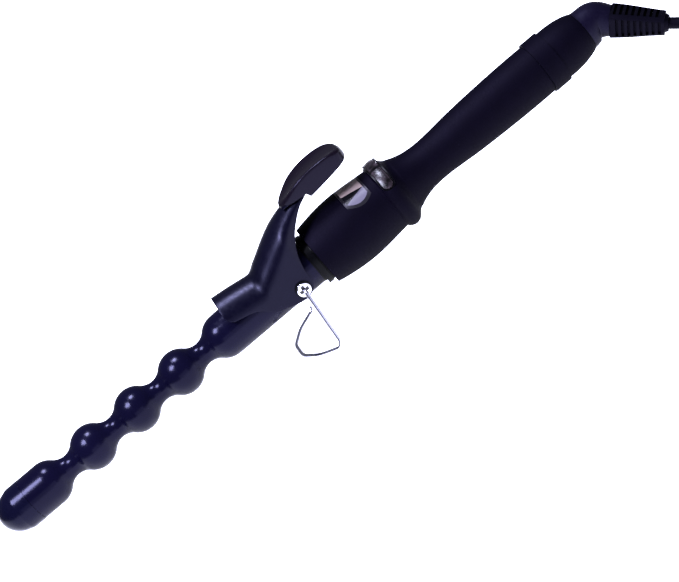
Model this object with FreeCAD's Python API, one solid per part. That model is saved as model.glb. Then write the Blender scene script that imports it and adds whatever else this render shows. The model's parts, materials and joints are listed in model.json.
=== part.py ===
import FreeCAD, Part
import math
import os

from FreeCAD import Placement, Rotation
from FreeCAD import Vector as V

# A curling iron with a beaded barrel, a thumb clip, a folding wire stand and a swivel lead.
# Every sub-part is drawn in the iron's own frame: x runs along the iron's axis, from the cool tip
# (negative) to the lead (positive), with x = 0 at the clip's hinge; z is up, towards the lever and
# the display. iron_to_row() then leans it on its stand. The lead is drawn on the floor at once.

# Driving dimensions, millimetres and degrees
BALL_R = 12.3
BALL_PITCH = 29.44
NECK_R = 6.2
TIP_BALL_X = -163.63
BALL_COUNT = 3
BASE_BALL_X = TIP_BALL_X + (BALL_COUNT + 1) * BALL_PITCH
SEAM_X = -175.6
TIP_END_X = -195.4
DOME_X = -180.7
BASE_R = 12.4
BORE_R = 4.9
BASE_BORE_R = 10.9
BARREL_END_X = 11.2

HEAD_X0 = 16.1
HEAD = ((16.1, 17.0), (27.7, 18.9), (39.5, 19.6), (50.5, 19.0), (61.8, 17.9))
GUARD = ((61.8, 17.9), (64.0, 19.75), (66.5, 20.25), (69.3, 19.3), (71.6, 16.9), (74.6, 15.1))
GRIP = ((74.6, 15.1), (82.0, 12.6), (92.8, 11.67), (109.9, 12.8), (128.5, 13.75), (164.2, 14.25))
GRIP_END_X = 164.2
WALL = 1.8

CLIP_R = 13.9
CLIP_WALL = 1.2
CLIP_LIFT = 7.0
CLIP_HALF_ANGLE = 68.0
CLIP_FRONT_X = -41.7
PIVOT_Z = -3.0
EAR_Y = 13.9
PAD_HALF_WIDTH = 10.0
PAD_NOSE_X, PAD_REAR_X = 16.7, 60.0
PAD_WALL = 1.6
PAD_SCREW_X = (31.0, 44.0)
TONGUE_Z0, TONGUE_Z1 = 33.6, 35.0

WIRE_R = 1.1
FOOT_Z = -34.2
FOOT_X, FOOT_HALF_WIDTH = -3.0, 30.5
FRONT_BAR_X = -22.5
FRONT_BAR_HALF_WIDTH = 8.0
LEG_TOP_Y = 17.0

WINDOW_X0, WINDOW_X1 = 44.0, 56.2
WINDOW_HALF_WIDTH = 11.8
WINDOW_BULGE = 13.9

BUTTON_X = 66.5
BUTTON_HALF = 2.9
BUTTON_TURN = 41.0
BUTTON_TOP_R = 20.45
BUTTON_UNDER_R = 18.9
BUTTON_TRAVEL = 0.6

BAND_X0, BAND_X1, BAND_R = 164.3, 174.1, 15.16
CAP_X1 = 193.9
STEM_R = 5.6
CAP_END_R = 11.2
ELBOW_X = 194.1
BEND_X = 203.0
BEND_TURN = 47.0
BEND_ROLL = -45.0
BOOT_START, BOOT_END, NOSE_END = 8.0, 35.6, 37.4
SLOT_COUNT, SLOT_PITCH, SLOT_WIDTH, SLOT_DEPTH = 8, 3.05, 1.5, 1.6

LEAD_R = 3.1
LEAN = 1.8
COIL_MEAN_R = 36.0
COIL_LAYERS = (4, 3, 2)
COIL_TURNS = 7.23
TIE_WALL, TIE_AT, TIE_SPAN = 0.8, 200.0, 13.0
PLUG_WIDTH, PLUG_HEIGHT = 34.0, 13.6
PIN_SPACING, PIN_R, PIN_LENGTH = 18.6, 2.0, 19.0

PARTS = {}


def part(name, shape):
    """Keep a finished sub-part under its node name."""
    PARTS[name] = shape


def turned(points):
    """Solid of revolution about the iron's axis from a closed outline of (x, radius) points."""
    corners = [V(x, 0, r) for x, r in points]
    face = Part.Face(Part.makePolygon(corners + corners[:1]))
    return face.revolve(V(0, 0, 0), V(1, 0, 0), 360)


def turned_edges(edges):
    """Solid of revolution from the edges of a closed outline in the x-z plane."""
    face = Part.Face(Part.Wire(Part.__sortEdges__(edges)))
    return face.revolve(V(0, 0, 0), V(1, 0, 0), 360)


def line(a, b):
    return Part.LineSegment(V(a[0], 0, a[1]), V(b[0], 0, b[1])).toShape()


def arc(a, middle, b):
    return Part.Arc(V(a[0], 0, a[1]), V(middle[0], 0, middle[1]), V(b[0], 0, b[1])).toShape()


def curve(points, inset=0.0):
    """Smooth edge through (x, radius) points, all brought in by inset."""
    smooth = Part.BSplineCurve()
    smooth.interpolate([V(x, 0, r - inset) for x, r in points])
    return smooth.toShape()


def tube(x0, x1, outer, inner):
    return turned([(x0, inner), (x1, inner), (x1, outer), (x0, outer)])


def disc(x0, x1, radius):
    return Part.makeCylinder(radius, x1 - x0, V(x0, 0, 0), V(1, 0, 0))


def box(x0, x1, y0, y1, z0, z1):
    return Part.makeBox(x1 - x0, y1 - y0, z1 - z0, V(x0, y0, z0))


def rod(start, end, radius):
    return Part.makeCylinder(radius, (end - start).Length, start, end - start)


def about_axis(shape, degrees):
    """The shape turned about the iron's axis; positive leans the top towards -y."""
    turned_shape = shape.copy()
    turned_shape.rotate(V(0, 0, 0), V(1, 0, 0), degrees)
    return turned_shape


def bent_path(points, radii):
    """Straight runs joined by tangent arcs: one radius for each inner point."""
    edges = []
    start = points[0]
    for before, corner, after, radius in zip(points, points[1:], points[2:], radii):
        arriving = (corner - before).normalize()
        leaving = (after - corner).normalize()
        half_turn = arriving.getAngle(leaving) / 2
        cut = radius * math.tan(half_turn)
        first, last = corner - arriving * cut, corner + leaving * cut
        inward = (leaving - arriving).normalize()
        middle = corner + inward * (radius / math.cos(half_turn) - radius)
        edges.append(Part.LineSegment(start, first).toShape())
        edges.append(Part.Arc(first, middle, last).toShape())
        start = last
    edges.append(Part.LineSegment(start, points[-1]).toShape())
    return Part.Wire(edges)


def bent_rod(points, radii, radius):
    """Round bar swept along a bent path."""
    path = bent_path(points, radii)
    heading = points[1] - points[0]
    profile = Part.Wire(Part.Circle(points[0], heading, radius).toShape())
    return path.makePipeShell([profile], True, True)


def lofted(wires):
    """Solid through closed wires, with its faces outwards."""
    solid = Part.makeLoft(wires, True)
    if solid.Volume < 0:
        solid.reverse()
    return solid


def barrel():
    """Beaded aluminium barrel: three balls, a rounded root at each end, bored for the heater."""
    blend_r = (BALL_PITCH**2 / 4 + NECK_R**2 - BALL_R**2) / (2 * (BALL_R - NECK_R))
    reach = BALL_R + blend_r
    touch_x = BALL_R * BALL_PITCH / 2 / reach
    touch_z = BALL_R * (NECK_R + blend_r) / reach
    centres = [TIP_BALL_X + BALL_PITCH * i for i in range(BALL_COUNT + 2)]
    edges = [line((SEAM_X, BORE_R), (SEAM_X, BALL_R)), line((SEAM_X, BALL_R), (TIP_BALL_X, BALL_R))]
    for left, right in zip(centres, centres[1:]):
        half = math.radians(45 / 2)
        over = (left + BALL_R * math.sin(half), BALL_R * math.cos(half))
        edges.append(arc((left, BALL_R), over, (left + touch_x, touch_z)))
        neck = ((left + right) / 2, NECK_R)
        edges.append(arc((left + touch_x, touch_z), neck, (right - touch_x, touch_z)))
        over = (right - BALL_R * math.sin(half), BALL_R * math.cos(half))
        edges.append(arc((right - touch_x, touch_z), over, (right, BALL_R)))
    outline = [
        (BASE_BALL_X, BALL_R),
        (BASE_BALL_X + 3, BASE_R),
        (BARREL_END_X, BASE_R),
        (BARREL_END_X, BASE_BORE_R),
        (-30.0, BASE_BORE_R),
        (-38.0, BORE_R),
        (SEAM_X, BORE_R),
    ]
    edges += [line(a, b) for a, b in zip(outline, outline[1:])]
    body = turned_edges(edges)
    for side in (-1, 1):
        body = body.cut(rod(V(0, side * 9, PIVOT_Z), V(0, side * 14, PIVOT_Z), 2.0))
    part("barrel", body)


def cool_tip():
    """Domed heat-proof tip, hollow, pressed over an insulating plug."""
    length = DOME_X - TIP_END_X
    dome = Part.BSplineCurve()
    angles = [math.radians(15 * i) for i in range(7)]
    dome.interpolate(
        Points=[V(DOME_X - length * math.cos(a), 0, BASE_R * math.sin(a)) for a in angles],
        Tangents=[V(0, 0, 1)] + [V(0, 0, 0)] * 5 + [V(1, 0, 0)],
        TangentFlags=[True] + [False] * 5 + [True],
    )
    seam = SEAM_X - 0.15
    edges = [
        dome.toShape(),
        line((DOME_X, BASE_R), (seam, BASE_R)),
        line((seam, BASE_R), (seam, 0)),
        line((seam, 0), (TIP_END_X, 0)),
    ]
    part("cool_tip", turned_edges(edges).cut(disc(DOME_X, SEAM_X, 8.2)))
    plug = disc(DOME_X + 0.3, SEAM_X - 0.05, 8.1).fuse(disc(SEAM_X - 0.05, SEAM_X + 6, BORE_R - 0.05))
    part("tip_insulator", plug.cut(disc(DOME_X, SEAM_X + 7, 1.3)))
    part("tip_screw", disc(DOME_X + 0.4, SEAM_X + 5.9, 1.25))


def heater():
    """Ceramic heater in the bore: stones, electrodes, insulating film and half-round clamps."""
    x0, x1 = -166.0, -44.0
    stones = [box(x0 + 4 + 19.5 * i, x0 + 22 + 19.5 * i, -2.6, 2.6, -0.9, 0.9) for i in range(6)]
    part("heater_stones", Part.makeCompound(stones))
    plates = [box(x0 + 2, x1 + 8, -2.6, 2.6, z, z + 0.3) for z in (0.9, -1.2)]
    part("electrode_plates", Part.makeCompound(plates))
    film_outer = box(x0, x1, -2.9, 2.9, -1.5, 1.5)
    part("insulating_film", film_outer.cut(box(x0 - 1, x1 + 1, -2.6, 2.6, -1.2, 1.2)))
    rounds = disc(x0, x1, BORE_R - 0.05).cut(box(x0 - 1, x1 + 1, -2.9, 2.9, -1.5, 1.5))
    clamps = rounds.cut(box(x0 - 1, x1 + 1, -6, 6, -0.15, 0.15))
    part("heater_clamps", clamps)
    bead = Part.makeSphere(1.4, V(-28.0, 0, 6.0)).fuse(disc(-28.0, -18.0, 0.8).translated(V(0, 0, 6.0)))
    part("thermistor", bead)
    part("thermal_fuse", disc(-28.0, -16.0, 1.9).translated(V(0, 0, -6.5)))


def heater_leads():
    """Two glass-braided wires from the electrodes to the control board."""
    wires = []
    for side, z in ((1, 1.75), (-1, -1.75)):
        points = [V(-35.9, side * 1.4, z * 0.6), V(-24, side * 1.4, z), V(-8, side * 5.5, 3.0)]
        points += [V(20, side * 5.5, 3.0), V(33, side * 5.5, 2.0), V(37.5, side * 5.5, -1.6)]
        wires.append(bent_rod(points, (5, 5, 5, 3), 0.7))
    part("heater_leads", Part.makeCompound(wires))


def base_collar():
    """Moulded collar between barrel and handle, with a thin flange and two locking lugs."""
    ring = tube(BARREL_END_X + 0.02, 12.2, 12.6, 8.0)
    flange = tube(12.2, 15.2, 14.8, 8.0)
    spigot = tube(8.2, BARREL_END_X + 0.02, BASE_BORE_R - 0.05, 8.0)
    neck = tube(15.2, 24.0, 11.5, 8.0)
    body = ring.fuse([flange, spigot, neck])
    for side in (-1, 1):
        body = body.fuse(box(20.5, 23.5, side * 12.4 - 1.6, side * 12.4 + 1.6, -4, 4))
    part("base_collar", body.removeSplitter())
    part("front_bezel", tube(17.6, 19.4, 15.4, 11.6))


def pivots():
    """Hinge hardware: a threaded cross block in the barrel root, two screws and two bushes."""
    block = disc(-6.0, 6.0, BASE_BORE_R - 0.05).common(box(-6, 6, -12, 12, PIVOT_Z - 3.4, PIVOT_Z + 3.4))
    bore = rod(V(0, -12, PIVOT_Z), V(0, 12, PIVOT_Z), 1.6)
    part("pivot_block", block.cut(bore))
    screws, bushes = [], []
    for side in (-1, 1):
        shank = rod(V(0, side * 6, PIVOT_Z), V(0, side * 14.9, PIVOT_Z), 1.58)
        head = rod(V(0, side * 14.85, PIVOT_Z), V(0, side * 16.1, PIVOT_Z), 3.6)
        rim = [e for e in head.Edges if e.BoundBox.YMax > 16.0 or e.BoundBox.YMin < -16.0]
        head = head.makeFillet(0.6, rim[:1])
        socket = rod(V(0, side * 15.0, PIVOT_Z), V(0, side * 17, PIVOT_Z), WIRE_R + 0.05)
        screws.append(head.fuse(shank).cut(socket))
        ring = rod(V(0, side * 13.95, PIVOT_Z), V(0, side * 14.8, PIVOT_Z), 4.4)
        bushes.append(ring.cut(rod(V(0, side * 13, PIVOT_Z), V(0, side * 16, PIVOT_Z), 1.62)))
    part("pivot_screws", Part.makeCompound(screws))
    part("pivot_washers", Part.makeCompound(bushes))


def lever_spring():
    """Compression coil between the barrel root and the lever."""
    coil_r, wire_r, foot, height, turns = 3.2, 0.5, 13.1, 13.4, 5.5
    helix = Part.makeHelix(height / turns, height, coil_r)
    profile = Part.Wire(Part.Circle(V(coil_r, 0, 0), V(0, 1, 0), wire_r).toShape())
    coil = Part.Wire(helix.Edges).makePipeShell([profile], True, True)
    part("lever_spring", coil.translated(V(7.6, 0, foot)))


def trough_shell():
    """Half-round clip over the barrel, lifted at its front about the hinge."""
    length = -17.0 - CLIP_FRONT_X
    shell = tube(CLIP_FRONT_X, CLIP_FRONT_X + length, CLIP_R, CLIP_R - CLIP_WALL)
    edge_z = CLIP_R * math.cos(math.radians(CLIP_HALF_ANGLE))
    shell = shell.common(box(-60, 60, -20, 20, edge_z, 20))
    corner = 7.0
    half = CLIP_R * math.sin(math.radians(CLIP_HALF_ANGLE)) + 0.3
    outline = Part.makePlane(60, 2 * half, V(CLIP_FRONT_X, -half, 0)).extrude(V(0, 0, 30))
    front = [
        e
        for e in outline.Edges
        if abs(e.BoundBox.XMax - CLIP_FRONT_X) < 0.1 and e.BoundBox.ZLength > 20
    ]
    shell = shell.common(outline.makeFillet(corner, front))
    shell.rotate(V(0, 0, PIVOT_Z), V(0, 1, 0), CLIP_LIFT)
    return shell


def stalk_section(x, top, half_width, depth):
    """One station of the lever's stalk: an arched channel section, open below."""
    def arch(inset):
        r_top, half, low = top - inset, half_width - inset, top - depth - 3 * inset
        rise = half * 0.62
        shoulder = r_top - rise
        bend = V(x, half * 0.72, r_top - rise * 0.32)
        return [V(x, half, low), V(x, half, shoulder), bend, V(x, 0, r_top), V(x, -bend.y, bend.z),
                V(x, -half, shoulder), V(x, -half, low)]
    outer, inner = arch(0.0), arch(CLIP_WALL)
    wires = []
    for points in (outer, inner):
        crown = Part.BSplineCurve()
        crown.interpolate(points[1:6])
        edges = [
            Part.LineSegment(points[0], points[1]).toShape(),
            crown.toShape(),
            Part.LineSegment(points[5], points[6]).toShape(),
            Part.LineSegment(points[6], points[0]).toShape(),
        ]
        wires.append(Part.Wire(edges))
    return wires


STALK = (
    (-20.0, 16.2, 13.6, 9.6),
    (-12.6, 18.6, 13.9, 10.0),
    (-0.2, 26.2, 13.6, 11.0),
    (7.6, 30.2, 11.8, 9.5),
    (14.6, 33.0, 9.6, 8.6),
    (21.0, 35.6, 8.4, 7.0),
)


def tongue_plate():
    """Flat end of the lever that the thumb pad is screwed to."""
    return box(STALK[-1][0] - 1.0, 50.0, -6.0, 6.0, TONGUE_Z0, TONGUE_Z1)


def clip_lever():
    """Sheet-metal clip: trough, arched stalk and two ears on the hinge, one pressing."""
    sections = [stalk_section(*station) for station in STALK]
    outer = lofted([s[0] for s in sections])
    inner = lofted([s[1] for s in sections])
    x_end = STALK[-1][0]
    shell = outer.cut(inner.common(box(-25, x_end - 1.2, -20, 20, -20, 60)))
    ears = []
    for side in (-1, 1):
        y0, y1 = sorted((side * EAR_Y, side * (EAR_Y - CLIP_WALL)))
        outline = [
            V(-25.0, y0, 6.4), V(-19.0, y0, 0.6), V(-12.5, y0, -6.2), V(-4.0, y0, -8.0), V(1.5, y0, -8.0),
            V(5.4, y0, -5.4), V(6.5, y0, -0.3), V(5.6, y0, 6.0), V(7.3, y0, 14.0),
            V(11.5, y0, 20.5), V(5.0, y0, 20.5), V(-16.0, y0, 9.5),
        ]
        plate = Part.Face(Part.makePolygon(outline + outline[:1])).extrude(V(0, y1 - y0, 0))
        boss = rod(V(0, y0, PIVOT_Z), V(0, y1, PIVOT_Z), 5.0)
        hole = rod(V(0, side * 12, PIVOT_Z), V(0, side * 15, PIVOT_Z), 1.65)
        ears.append(plate.fuse(boss).cut(hole))
    tongue = tongue_plate()
    for x in PAD_SCREW_X:
        tongue = tongue.cut(rod(V(x, 0, 30), V(x, 0, 40), 1.3))
    body = trough_shell().fuse([shell, tongue, *ears])
    clear = disc(-60, 11.6, BASE_R + 0.25)
    body = body.cut(clear)
    part("clip_lever", body.removeSplitter())


def pad_prism(inset):
    """Upright prism on the thumb pad's plan: oval nose, straight sides, round rear."""
    nose_x, rear_x, half = PAD_NOSE_X + inset, PAD_REAR_X - inset, PAD_HALF_WIDTH - inset
    side = [V(nose_x + 5.0, 0.56 * half, 0), V(nose_x + 14.0, 0.86 * half, 0)]
    side += [V(42.0, half, 0), V(rear_x - 6.0, 0.86 * half, 0)]
    outline = Part.BSplineCurve()
    points = [V(nose_x, 0, 0)] + side + [V(rear_x, 0, 0)] + [V(p.x, -p.y, 0) for p in reversed(side)]
    outline.interpolate(Points=points, PeriodicFlag=True)
    return Part.Face(Part.Wire(outline.toShape())).extrude(V(0, 0, 60))


def thumb_pad():
    """Moulded thumb rest over the end of the stalk: oval, slightly dished, with a skirt."""
    crown = ((16.0, 34.6), (22.5, 37.6), (30.5, 40.9), (40.0, 42.6), (50.0, 42.4), (56.5, 41.0), (61.0, 37.0))
    side_outline = [
        curve(crown),
        line((61.0, 37.0), (57.0, 34.0)),
        line((57.0, 34.0), (33.0, 30.8)),
        line((33.0, 30.8), (22.0, 29.4)),
        line((22.0, 29.4), (10.0, 24.0)),
        line((10.0, 24.0), (10.0, 32.0)),
        line((10.0, 32.0), (16.0, 34.6)),
    ]
    slab = Part.Face(Part.Wire(side_outline)).extrude(V(0, 40, 0)).translated(V(0, -20, 0))
    body = pad_prism(0.0).common(slab)
    hollow = pad_prism(PAD_WALL).common(slab.translated(V(0, 0, -2.2)))
    body = body.cut(hollow.common(box(22.4, 60, -12, 12, 20, 45)))
    body = body.cut(tongue_plate())
    sections = [stalk_section(*station) for station in STALK]
    body = body.cut(lofted([s[0] for s in sections]))
    screws = []
    for x in PAD_SCREW_X:
        post = rod(V(x, 0, TONGUE_Z1), V(x, 0, 40.6), 2.6)
        body = body.fuse(post.cut(rod(V(x, 0, 30), V(x, 0, 38.0), 1.27)))
        head = rod(V(x, 0, TONGUE_Z0 - 1.2), V(x, 0, TONGUE_Z0), 2.4)
        screws.append(head.fuse(rod(V(x, 0, TONGUE_Z0), V(x, 0, 37.8), 1.25)))
    part("thumb_pad", body.removeSplitter())
    part("pad_screws", Part.makeCompound(screws))


def wire_stand():
    """Bent-wire stand: two splayed legs joined by a flat D-shaped foot."""
    half = [
        V(0, 15.4, PIVOT_Z),
        V(0, LEG_TOP_Y + 1.4, PIVOT_Z),
        V(FOOT_X, FOOT_HALF_WIDTH, FOOT_Z),
        V(-15.2, 20.5, FOOT_Z),
        V(FRONT_BAR_X, FRONT_BAR_HALF_WIDTH, FOOT_Z),
    ]
    points = half + [V(p.x, -p.y, p.z) for p in reversed(half)]
    radii = (1.6, 3.6, 25.0, 14.0, 14.0, 25.0, 3.6, 1.6)
    part("wire_stand", bent_rod(points, radii, WIRE_R))


def handle_solid(inset):
    """The handle's outer form, brought in by inset, from its front edge to the lock band."""
    x0, x1 = HEAD_X0, GRIP_END_X
    edges = [curve(HEAD, inset), curve(GUARD, inset), curve(GRIP, inset)]
    edges.append(line((x0, HEAD[0][1] - inset), (x0, 0)))
    edges.append(line((x0, 0), (x1, 0)))
    edges.append(line((x1, 0), (x1, GRIP[-1][1] - inset)))
    return turned_edges(edges)


def window_prism(grow, z0=5.0, z1=25.0):
    """Upright prism on the display's outline: straight ends, sides bulging outwards."""
    x0, x1 = WINDOW_X0 - grow, WINDOW_X1 + grow
    half, bulge = WINDOW_HALF_WIDTH + grow, WINDOW_BULGE + grow
    middle = (x0 + x1) / 2
    edges = [
        Part.LineSegment(V(x0, -half, z0), V(x0, half, z0)).toShape(),
        Part.Arc(V(x0, half, z0), V(middle, bulge, z0), V(x1, half, z0)).toShape(),
        Part.LineSegment(V(x1, half, z0), V(x1, -half, z0)).toShape(),
        Part.Arc(V(x1, -half, z0), V(middle, -bulge, z0), V(x0, -half, z0)).toShape(),
    ]
    return Part.Face(Part.Wire(edges)).extrude(V(0, 0, z1 - z0))


# Angle of each button about the iron's axis, its half-length, and whether its far end is round
BUTTONS = (
    ("button_minus", BUTTON_TURN, 6.6),
    ("button_power", 0.0, 5.8),
    ("button_plus", -BUTTON_TURN, 6.6),
)


def button_prism(turn, half_length, grow, r0=10.0, r1=25.0):
    """Prism along one button's push direction; the outer buttons have a round far end."""
    half = BUTTON_HALF + grow
    x0, x1 = BUTTON_X - half, BUTTON_X + half
    reach = half_length + grow
    prism = box(x0, x1, -reach, reach, r0, r1)
    if turn:
        far = -math.copysign(1, turn)
        middle_y = far * (half_length - BUTTON_HALF)
        y0, y1 = sorted((-far * reach, middle_y))
        prism = box(x0, x1, y0, y1, r0, r1).fuse(
            Part.makeCylinder(half, r1 - r0, V(BUTTON_X, middle_y, r0), V(0, 0, 1))
        )
    return about_axis(prism, turn)


def button_slot(grow):
    slot = [button_prism(turn, half, grow) for _, turn, half in BUTTONS]
    return slot[0].fuse(slot[1:])


def handle_shells(outer):
    """Upper and lower casing halves, with screw posts, board posts and the openings."""
    hollow = handle_solid(WALL)
    hollow = hollow.fuse(disc(HEAD_X0 - 1, HEAD_X0 + 1, HEAD[0][1] - WALL))
    hollow = hollow.fuse(disc(GRIP_END_X - 1, GRIP_END_X + 1, GRIP[-1][1] - WALL))
    shell = outer.cut(hollow)
    upper = shell.common(box(0, 200, -30, 30, 0.02, 30))
    lower = shell.common(box(0, 200, -30, 30, -30, 0))
    screws = []
    for x in (30.5, 118.0, 150.0):
        post_up = rod(V(x, 0, 0.02), V(x, 0, 30), 3.0).common(outer)
        post_up = post_up.cut(rod(V(x, 0, -1), V(x, 0, 7.0), 1.22))
        post_low = rod(V(x, 0, -30), V(x, 0, 0), 3.0).common(outer)
        post_low = post_low.cut(rod(V(x, 0, -30), V(x, 0, -5.5), 2.3))
        post_low = post_low.cut(rod(V(x, 0, -8), V(x, 0, 1), 1.4))
        upper = upper.fuse(post_up)
        lower = lower.fuse(post_low)
        lower = lower.cut(rod(V(x, 0, -30), V(x, 0, -5.5), 2.3))
        head = rod(V(x, 0, -7.0), V(x, 0, -5.5), 2.2)
        screws.append(head.fuse(rod(V(x, 0, -5.5), V(x, 0, 6.8), 1.2)))
    for y in (-10.0, 10.0):
        post = rod(V(42.0, y, -30), V(42.0, y, -4.0), 2.2).common(outer)
        lower = lower.fuse(post.cut(rod(V(42.0, y, -9), V(42.0, y, 0), 0.9)))
    upper = upper.cut(window_prism(1.25)).cut(button_slot(0.95))
    part("handle_upper_shell", upper.removeSplitter())
    part("handle_lower_shell", lower.removeSplitter())
    part("shell_screws", Part.makeCompound(screws))


def display(outer):
    """Lens and frame in the head's top, with the LCD, its light and its ribbon behind."""
    skin = outer.cut(handle_solid(1.5))
    deep = outer.cut(handle_solid(WALL))
    part("display_frame", deep.common(window_prism(1.2)).cut(window_prism(0.02)))
    part("display_window", skin.common(window_prism(0.0)))
    part("lcd_panel", box(45.2, 55.0, -8.6, 8.6, 13.4, 14.6))
    part("backlight", box(45.2, 56.3, -8.6, 8.6, 11.2, 13.38))
    part("display_ribbon", box(48.0, 54.0, 8.65, 8.9, -2.35, 14.0))


def buttons(outer):
    """Three rocker-free push buttons in one bezel, over a mat, switches and their carrier."""
    crown_x = (BUTTON_X - BUTTON_HALF, BUTTON_X + BUTTON_HALF)
    top_face = turned_edges(
        [
            line((crown_x[0], BUTTON_UNDER_R), (crown_x[0], BUTTON_TOP_R - 0.5)),
            arc((crown_x[0], BUTTON_TOP_R - 0.5), (BUTTON_X, BUTTON_TOP_R), (crown_x[1], BUTTON_TOP_R - 0.5)),
            line((crown_x[1], BUTTON_TOP_R - 0.5), (crown_x[1], BUTTON_UNDER_R)),
            line((crown_x[1], BUTTON_UNDER_R), (crown_x[0], BUTTON_UNDER_R)),
        ]
    )
    for name, turn, half in BUTTONS:
        stem = about_axis(box(BUTTON_X - 1.2, BUTTON_X + 1.2, -1.5, 1.5, 17.85, 19.2), turn)
        part(name, top_face.common(button_prism(turn, half, 0.0)).fuse(stem).removeSplitter())
    rim = tube(BUTTON_X - 3.9, BUTTON_X + 3.9, 20.0, 18.5)
    part("button_bezel", rim.common(button_slot(0.9)).cut(button_slot(0.35)))
    sector = about_axis(box(60, 73, -30, 30, 0, 30), 0)
    sector = sector.common(about_axis(box(60, 73, -30, 30, 0, 30), 35))
    sector = sector.common(about_axis(box(60, 73, -30, 30, 0, 30), -35))
    x0, x1 = BUTTON_X - 2.6, BUTTON_X + 2.6
    part("button_mat", tube(x0, x1, 17.1, 16.7).common(sector))
    part("button_carrier", tube(x0, x1, 15.3, 14.5).common(sector))
    switches = [about_axis(box(x0 + 0.5, x1 - 0.5, -2.1, 2.1, 15.35, 16.5), turn) for _, turn, _ in BUTTONS]
    part("tact_switches", Part.makeCompound(switches))


def electronics():
    """Control board in the head and grip, and what is soldered to it."""
    board = box(36.0, 60.0, -13.0, 13.0, -4.0, -2.4).fuse(box(60.0, 108.0, -6.0, 6.0, -4.0, -2.4))
    for y in (-10.0, 10.0):
        board = board.cut(rod(V(42.0, y, -6), V(42.0, y, 0), 1.1))
    part("main_board", board.removeSplitter())
    screws = []
    for y in (-10.0, 10.0):
        head = rod(V(42.0, y, -2.4), V(42.0, y, -1.4), 1.9)
        screws.append(head.fuse(rod(V(42.0, y, -7.5), V(42.0, y, -2.4), 0.88)))
    part("board_screws", Part.makeCompound(screws))
    chip = box(66.0, 74.0, -3.0, 3.0, -2.4, -0.8)
    part("control_chip", chip)
    triac = box(78.0, 82.5, -5.0, 5.0, -2.4, 6.5).fuse(box(80.6, 82.5, -5.0, 5.0, 6.5, 9.5))
    part("triac", triac.common(disc(60, 100, 9.6)))
    part("film_capacitor", box(86.0, 94.0, -4.5, 4.5, -2.4, 4.0))
    resistors = [disc(0, 7.0, 1.1).translated(V(98.0, y, -1.3)) for y in (-3.0, 0.0, 3.0)]
    part("resistors", Part.makeCompound(resistors))
    wires = []
    for side in (-1, 1):
        points = [V(107.0, side * 4.8, -1.6), V(112.0, side * 4.8, -1.6), V(120.0, side * 5.6, 2.0)]
        points += [V(158.0, side * 5.6, 2.0), V(168.0, side * 9.2, 2.0), V(176.4, side * 9.2, 2.0)]
        wires.append(bent_rod(points, (3, 6, 8, 8), 0.75))
    part("supply_wires", Part.makeCompound(wires))


def rear_end():
    """Lock band, end cap and the swivel contacts at the grip's rear."""
    part("lock_band", tube(BAND_X0, BAND_X1, BAND_R, 12.6))
    cap_line = ((174.2, 14.23), (181.0, 14.1), (187.0, 13.35), (191.5, 12.2), (CAP_X1, CAP_END_R))
    cap_outer = turned_edges(
        [
            curve(cap_line),
            line((174.2, 14.23), (174.2, 0)),
            line((174.2, 0), (CAP_X1, 0)),
            line((CAP_X1, 0), (CAP_X1, CAP_END_R)),
        ]
    )
    hollow = turned([(173, 0), (190.0, 0), (190.0, 10.9), (184.0, 12.0), (173, 12.0)])
    cap = cap_outer.cut(hollow).cut(disc(180, 200, 8.0))
    part("end_cap", cap)
    bush = tube(190.05, CAP_X1 - 0.05, 7.95, STEM_R + 0.06).fuse(tube(188.0, 189.95, 9.6, STEM_R + 0.06))
    part("swivel_bush", bush.fuse(tube(189.9, 190.1, 7.95, STEM_R + 0.06)).removeSplitter())
    brushes = []
    for side, x in ((1, 178.6), (-1, 183.6)):
        arm = box(x - 1.2, x + 1.2, -1.6, 1.6, STEM_R + 0.75, STEM_R + 1.2)
        leg = box(x - 1.2, x + 1.2, 1.2, 1.6, STEM_R + 0.75, 11.4)
        brushes.append(about_axis(arm.fuse(leg), -90 * side))
    part("contact_brushes", Part.makeCompound(brushes))


def along_bend():
    """Unit vector of the lead's exit, down and towards -y."""
    bend, roll = math.radians(BEND_TURN), math.radians(BEND_ROLL)
    return V(math.cos(bend), math.sin(bend) * math.sin(roll), -math.sin(bend) * math.cos(roll))


def on_bend(shape):
    """Place a shape drawn along +x from the origin onto the bent end, square to its plane."""
    way = along_bend()
    up = V(0, 0, 1) - way * way.z
    up.normalize()
    across = up.cross(way)
    turn = Rotation(way, across, up, "XYZ")
    moved = shape.copy()
    moved.Placement = Placement(V(BEND_X, 0, 0), turn)
    return moved


def swivel_elbow():
    """Angled outlet that turns in the end cap, with its slip rings and retaining clip."""
    way = along_bend()
    corner = V(BEND_X, 0, 0)
    stations = [(V(ELBOW_X, 0, 0), V(1, 0, 0), CAP_END_R - 0.1), (V(ELBOW_X + 2.6, 0, 0), V(1, 0, 0), 10.8)]
    stations.append((corner + (way - V(1, 0, 0)) * 0.6, V(1, 0, 0) + way, 10.0))
    stations.append((corner + way * 5.0, way, 8.7))
    stations.append((corner + way * BOOT_START, way, 8.0))
    rings = [Part.Wire(Part.Circle(at, normal, r).toShape()) for at, normal, r in stations]
    body = lofted(rings)
    stem = disc(176.0, ELBOW_X + 1.0, STEM_R)
    flange = tube(185.8, 187.6, 7.4, STEM_R - 0.5)
    body = body.fuse([stem, flange])
    body = body.cut(disc(175.0, 200.0, 3.2))
    part("swivel_elbow", body.removeSplitter())
    rings = [tube(x - 1.5, x + 1.5, STEM_R + 0.7, STEM_R + 0.01) for x in (178.6, 183.6)]
    part("slip_rings", Part.makeCompound(rings))


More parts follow.
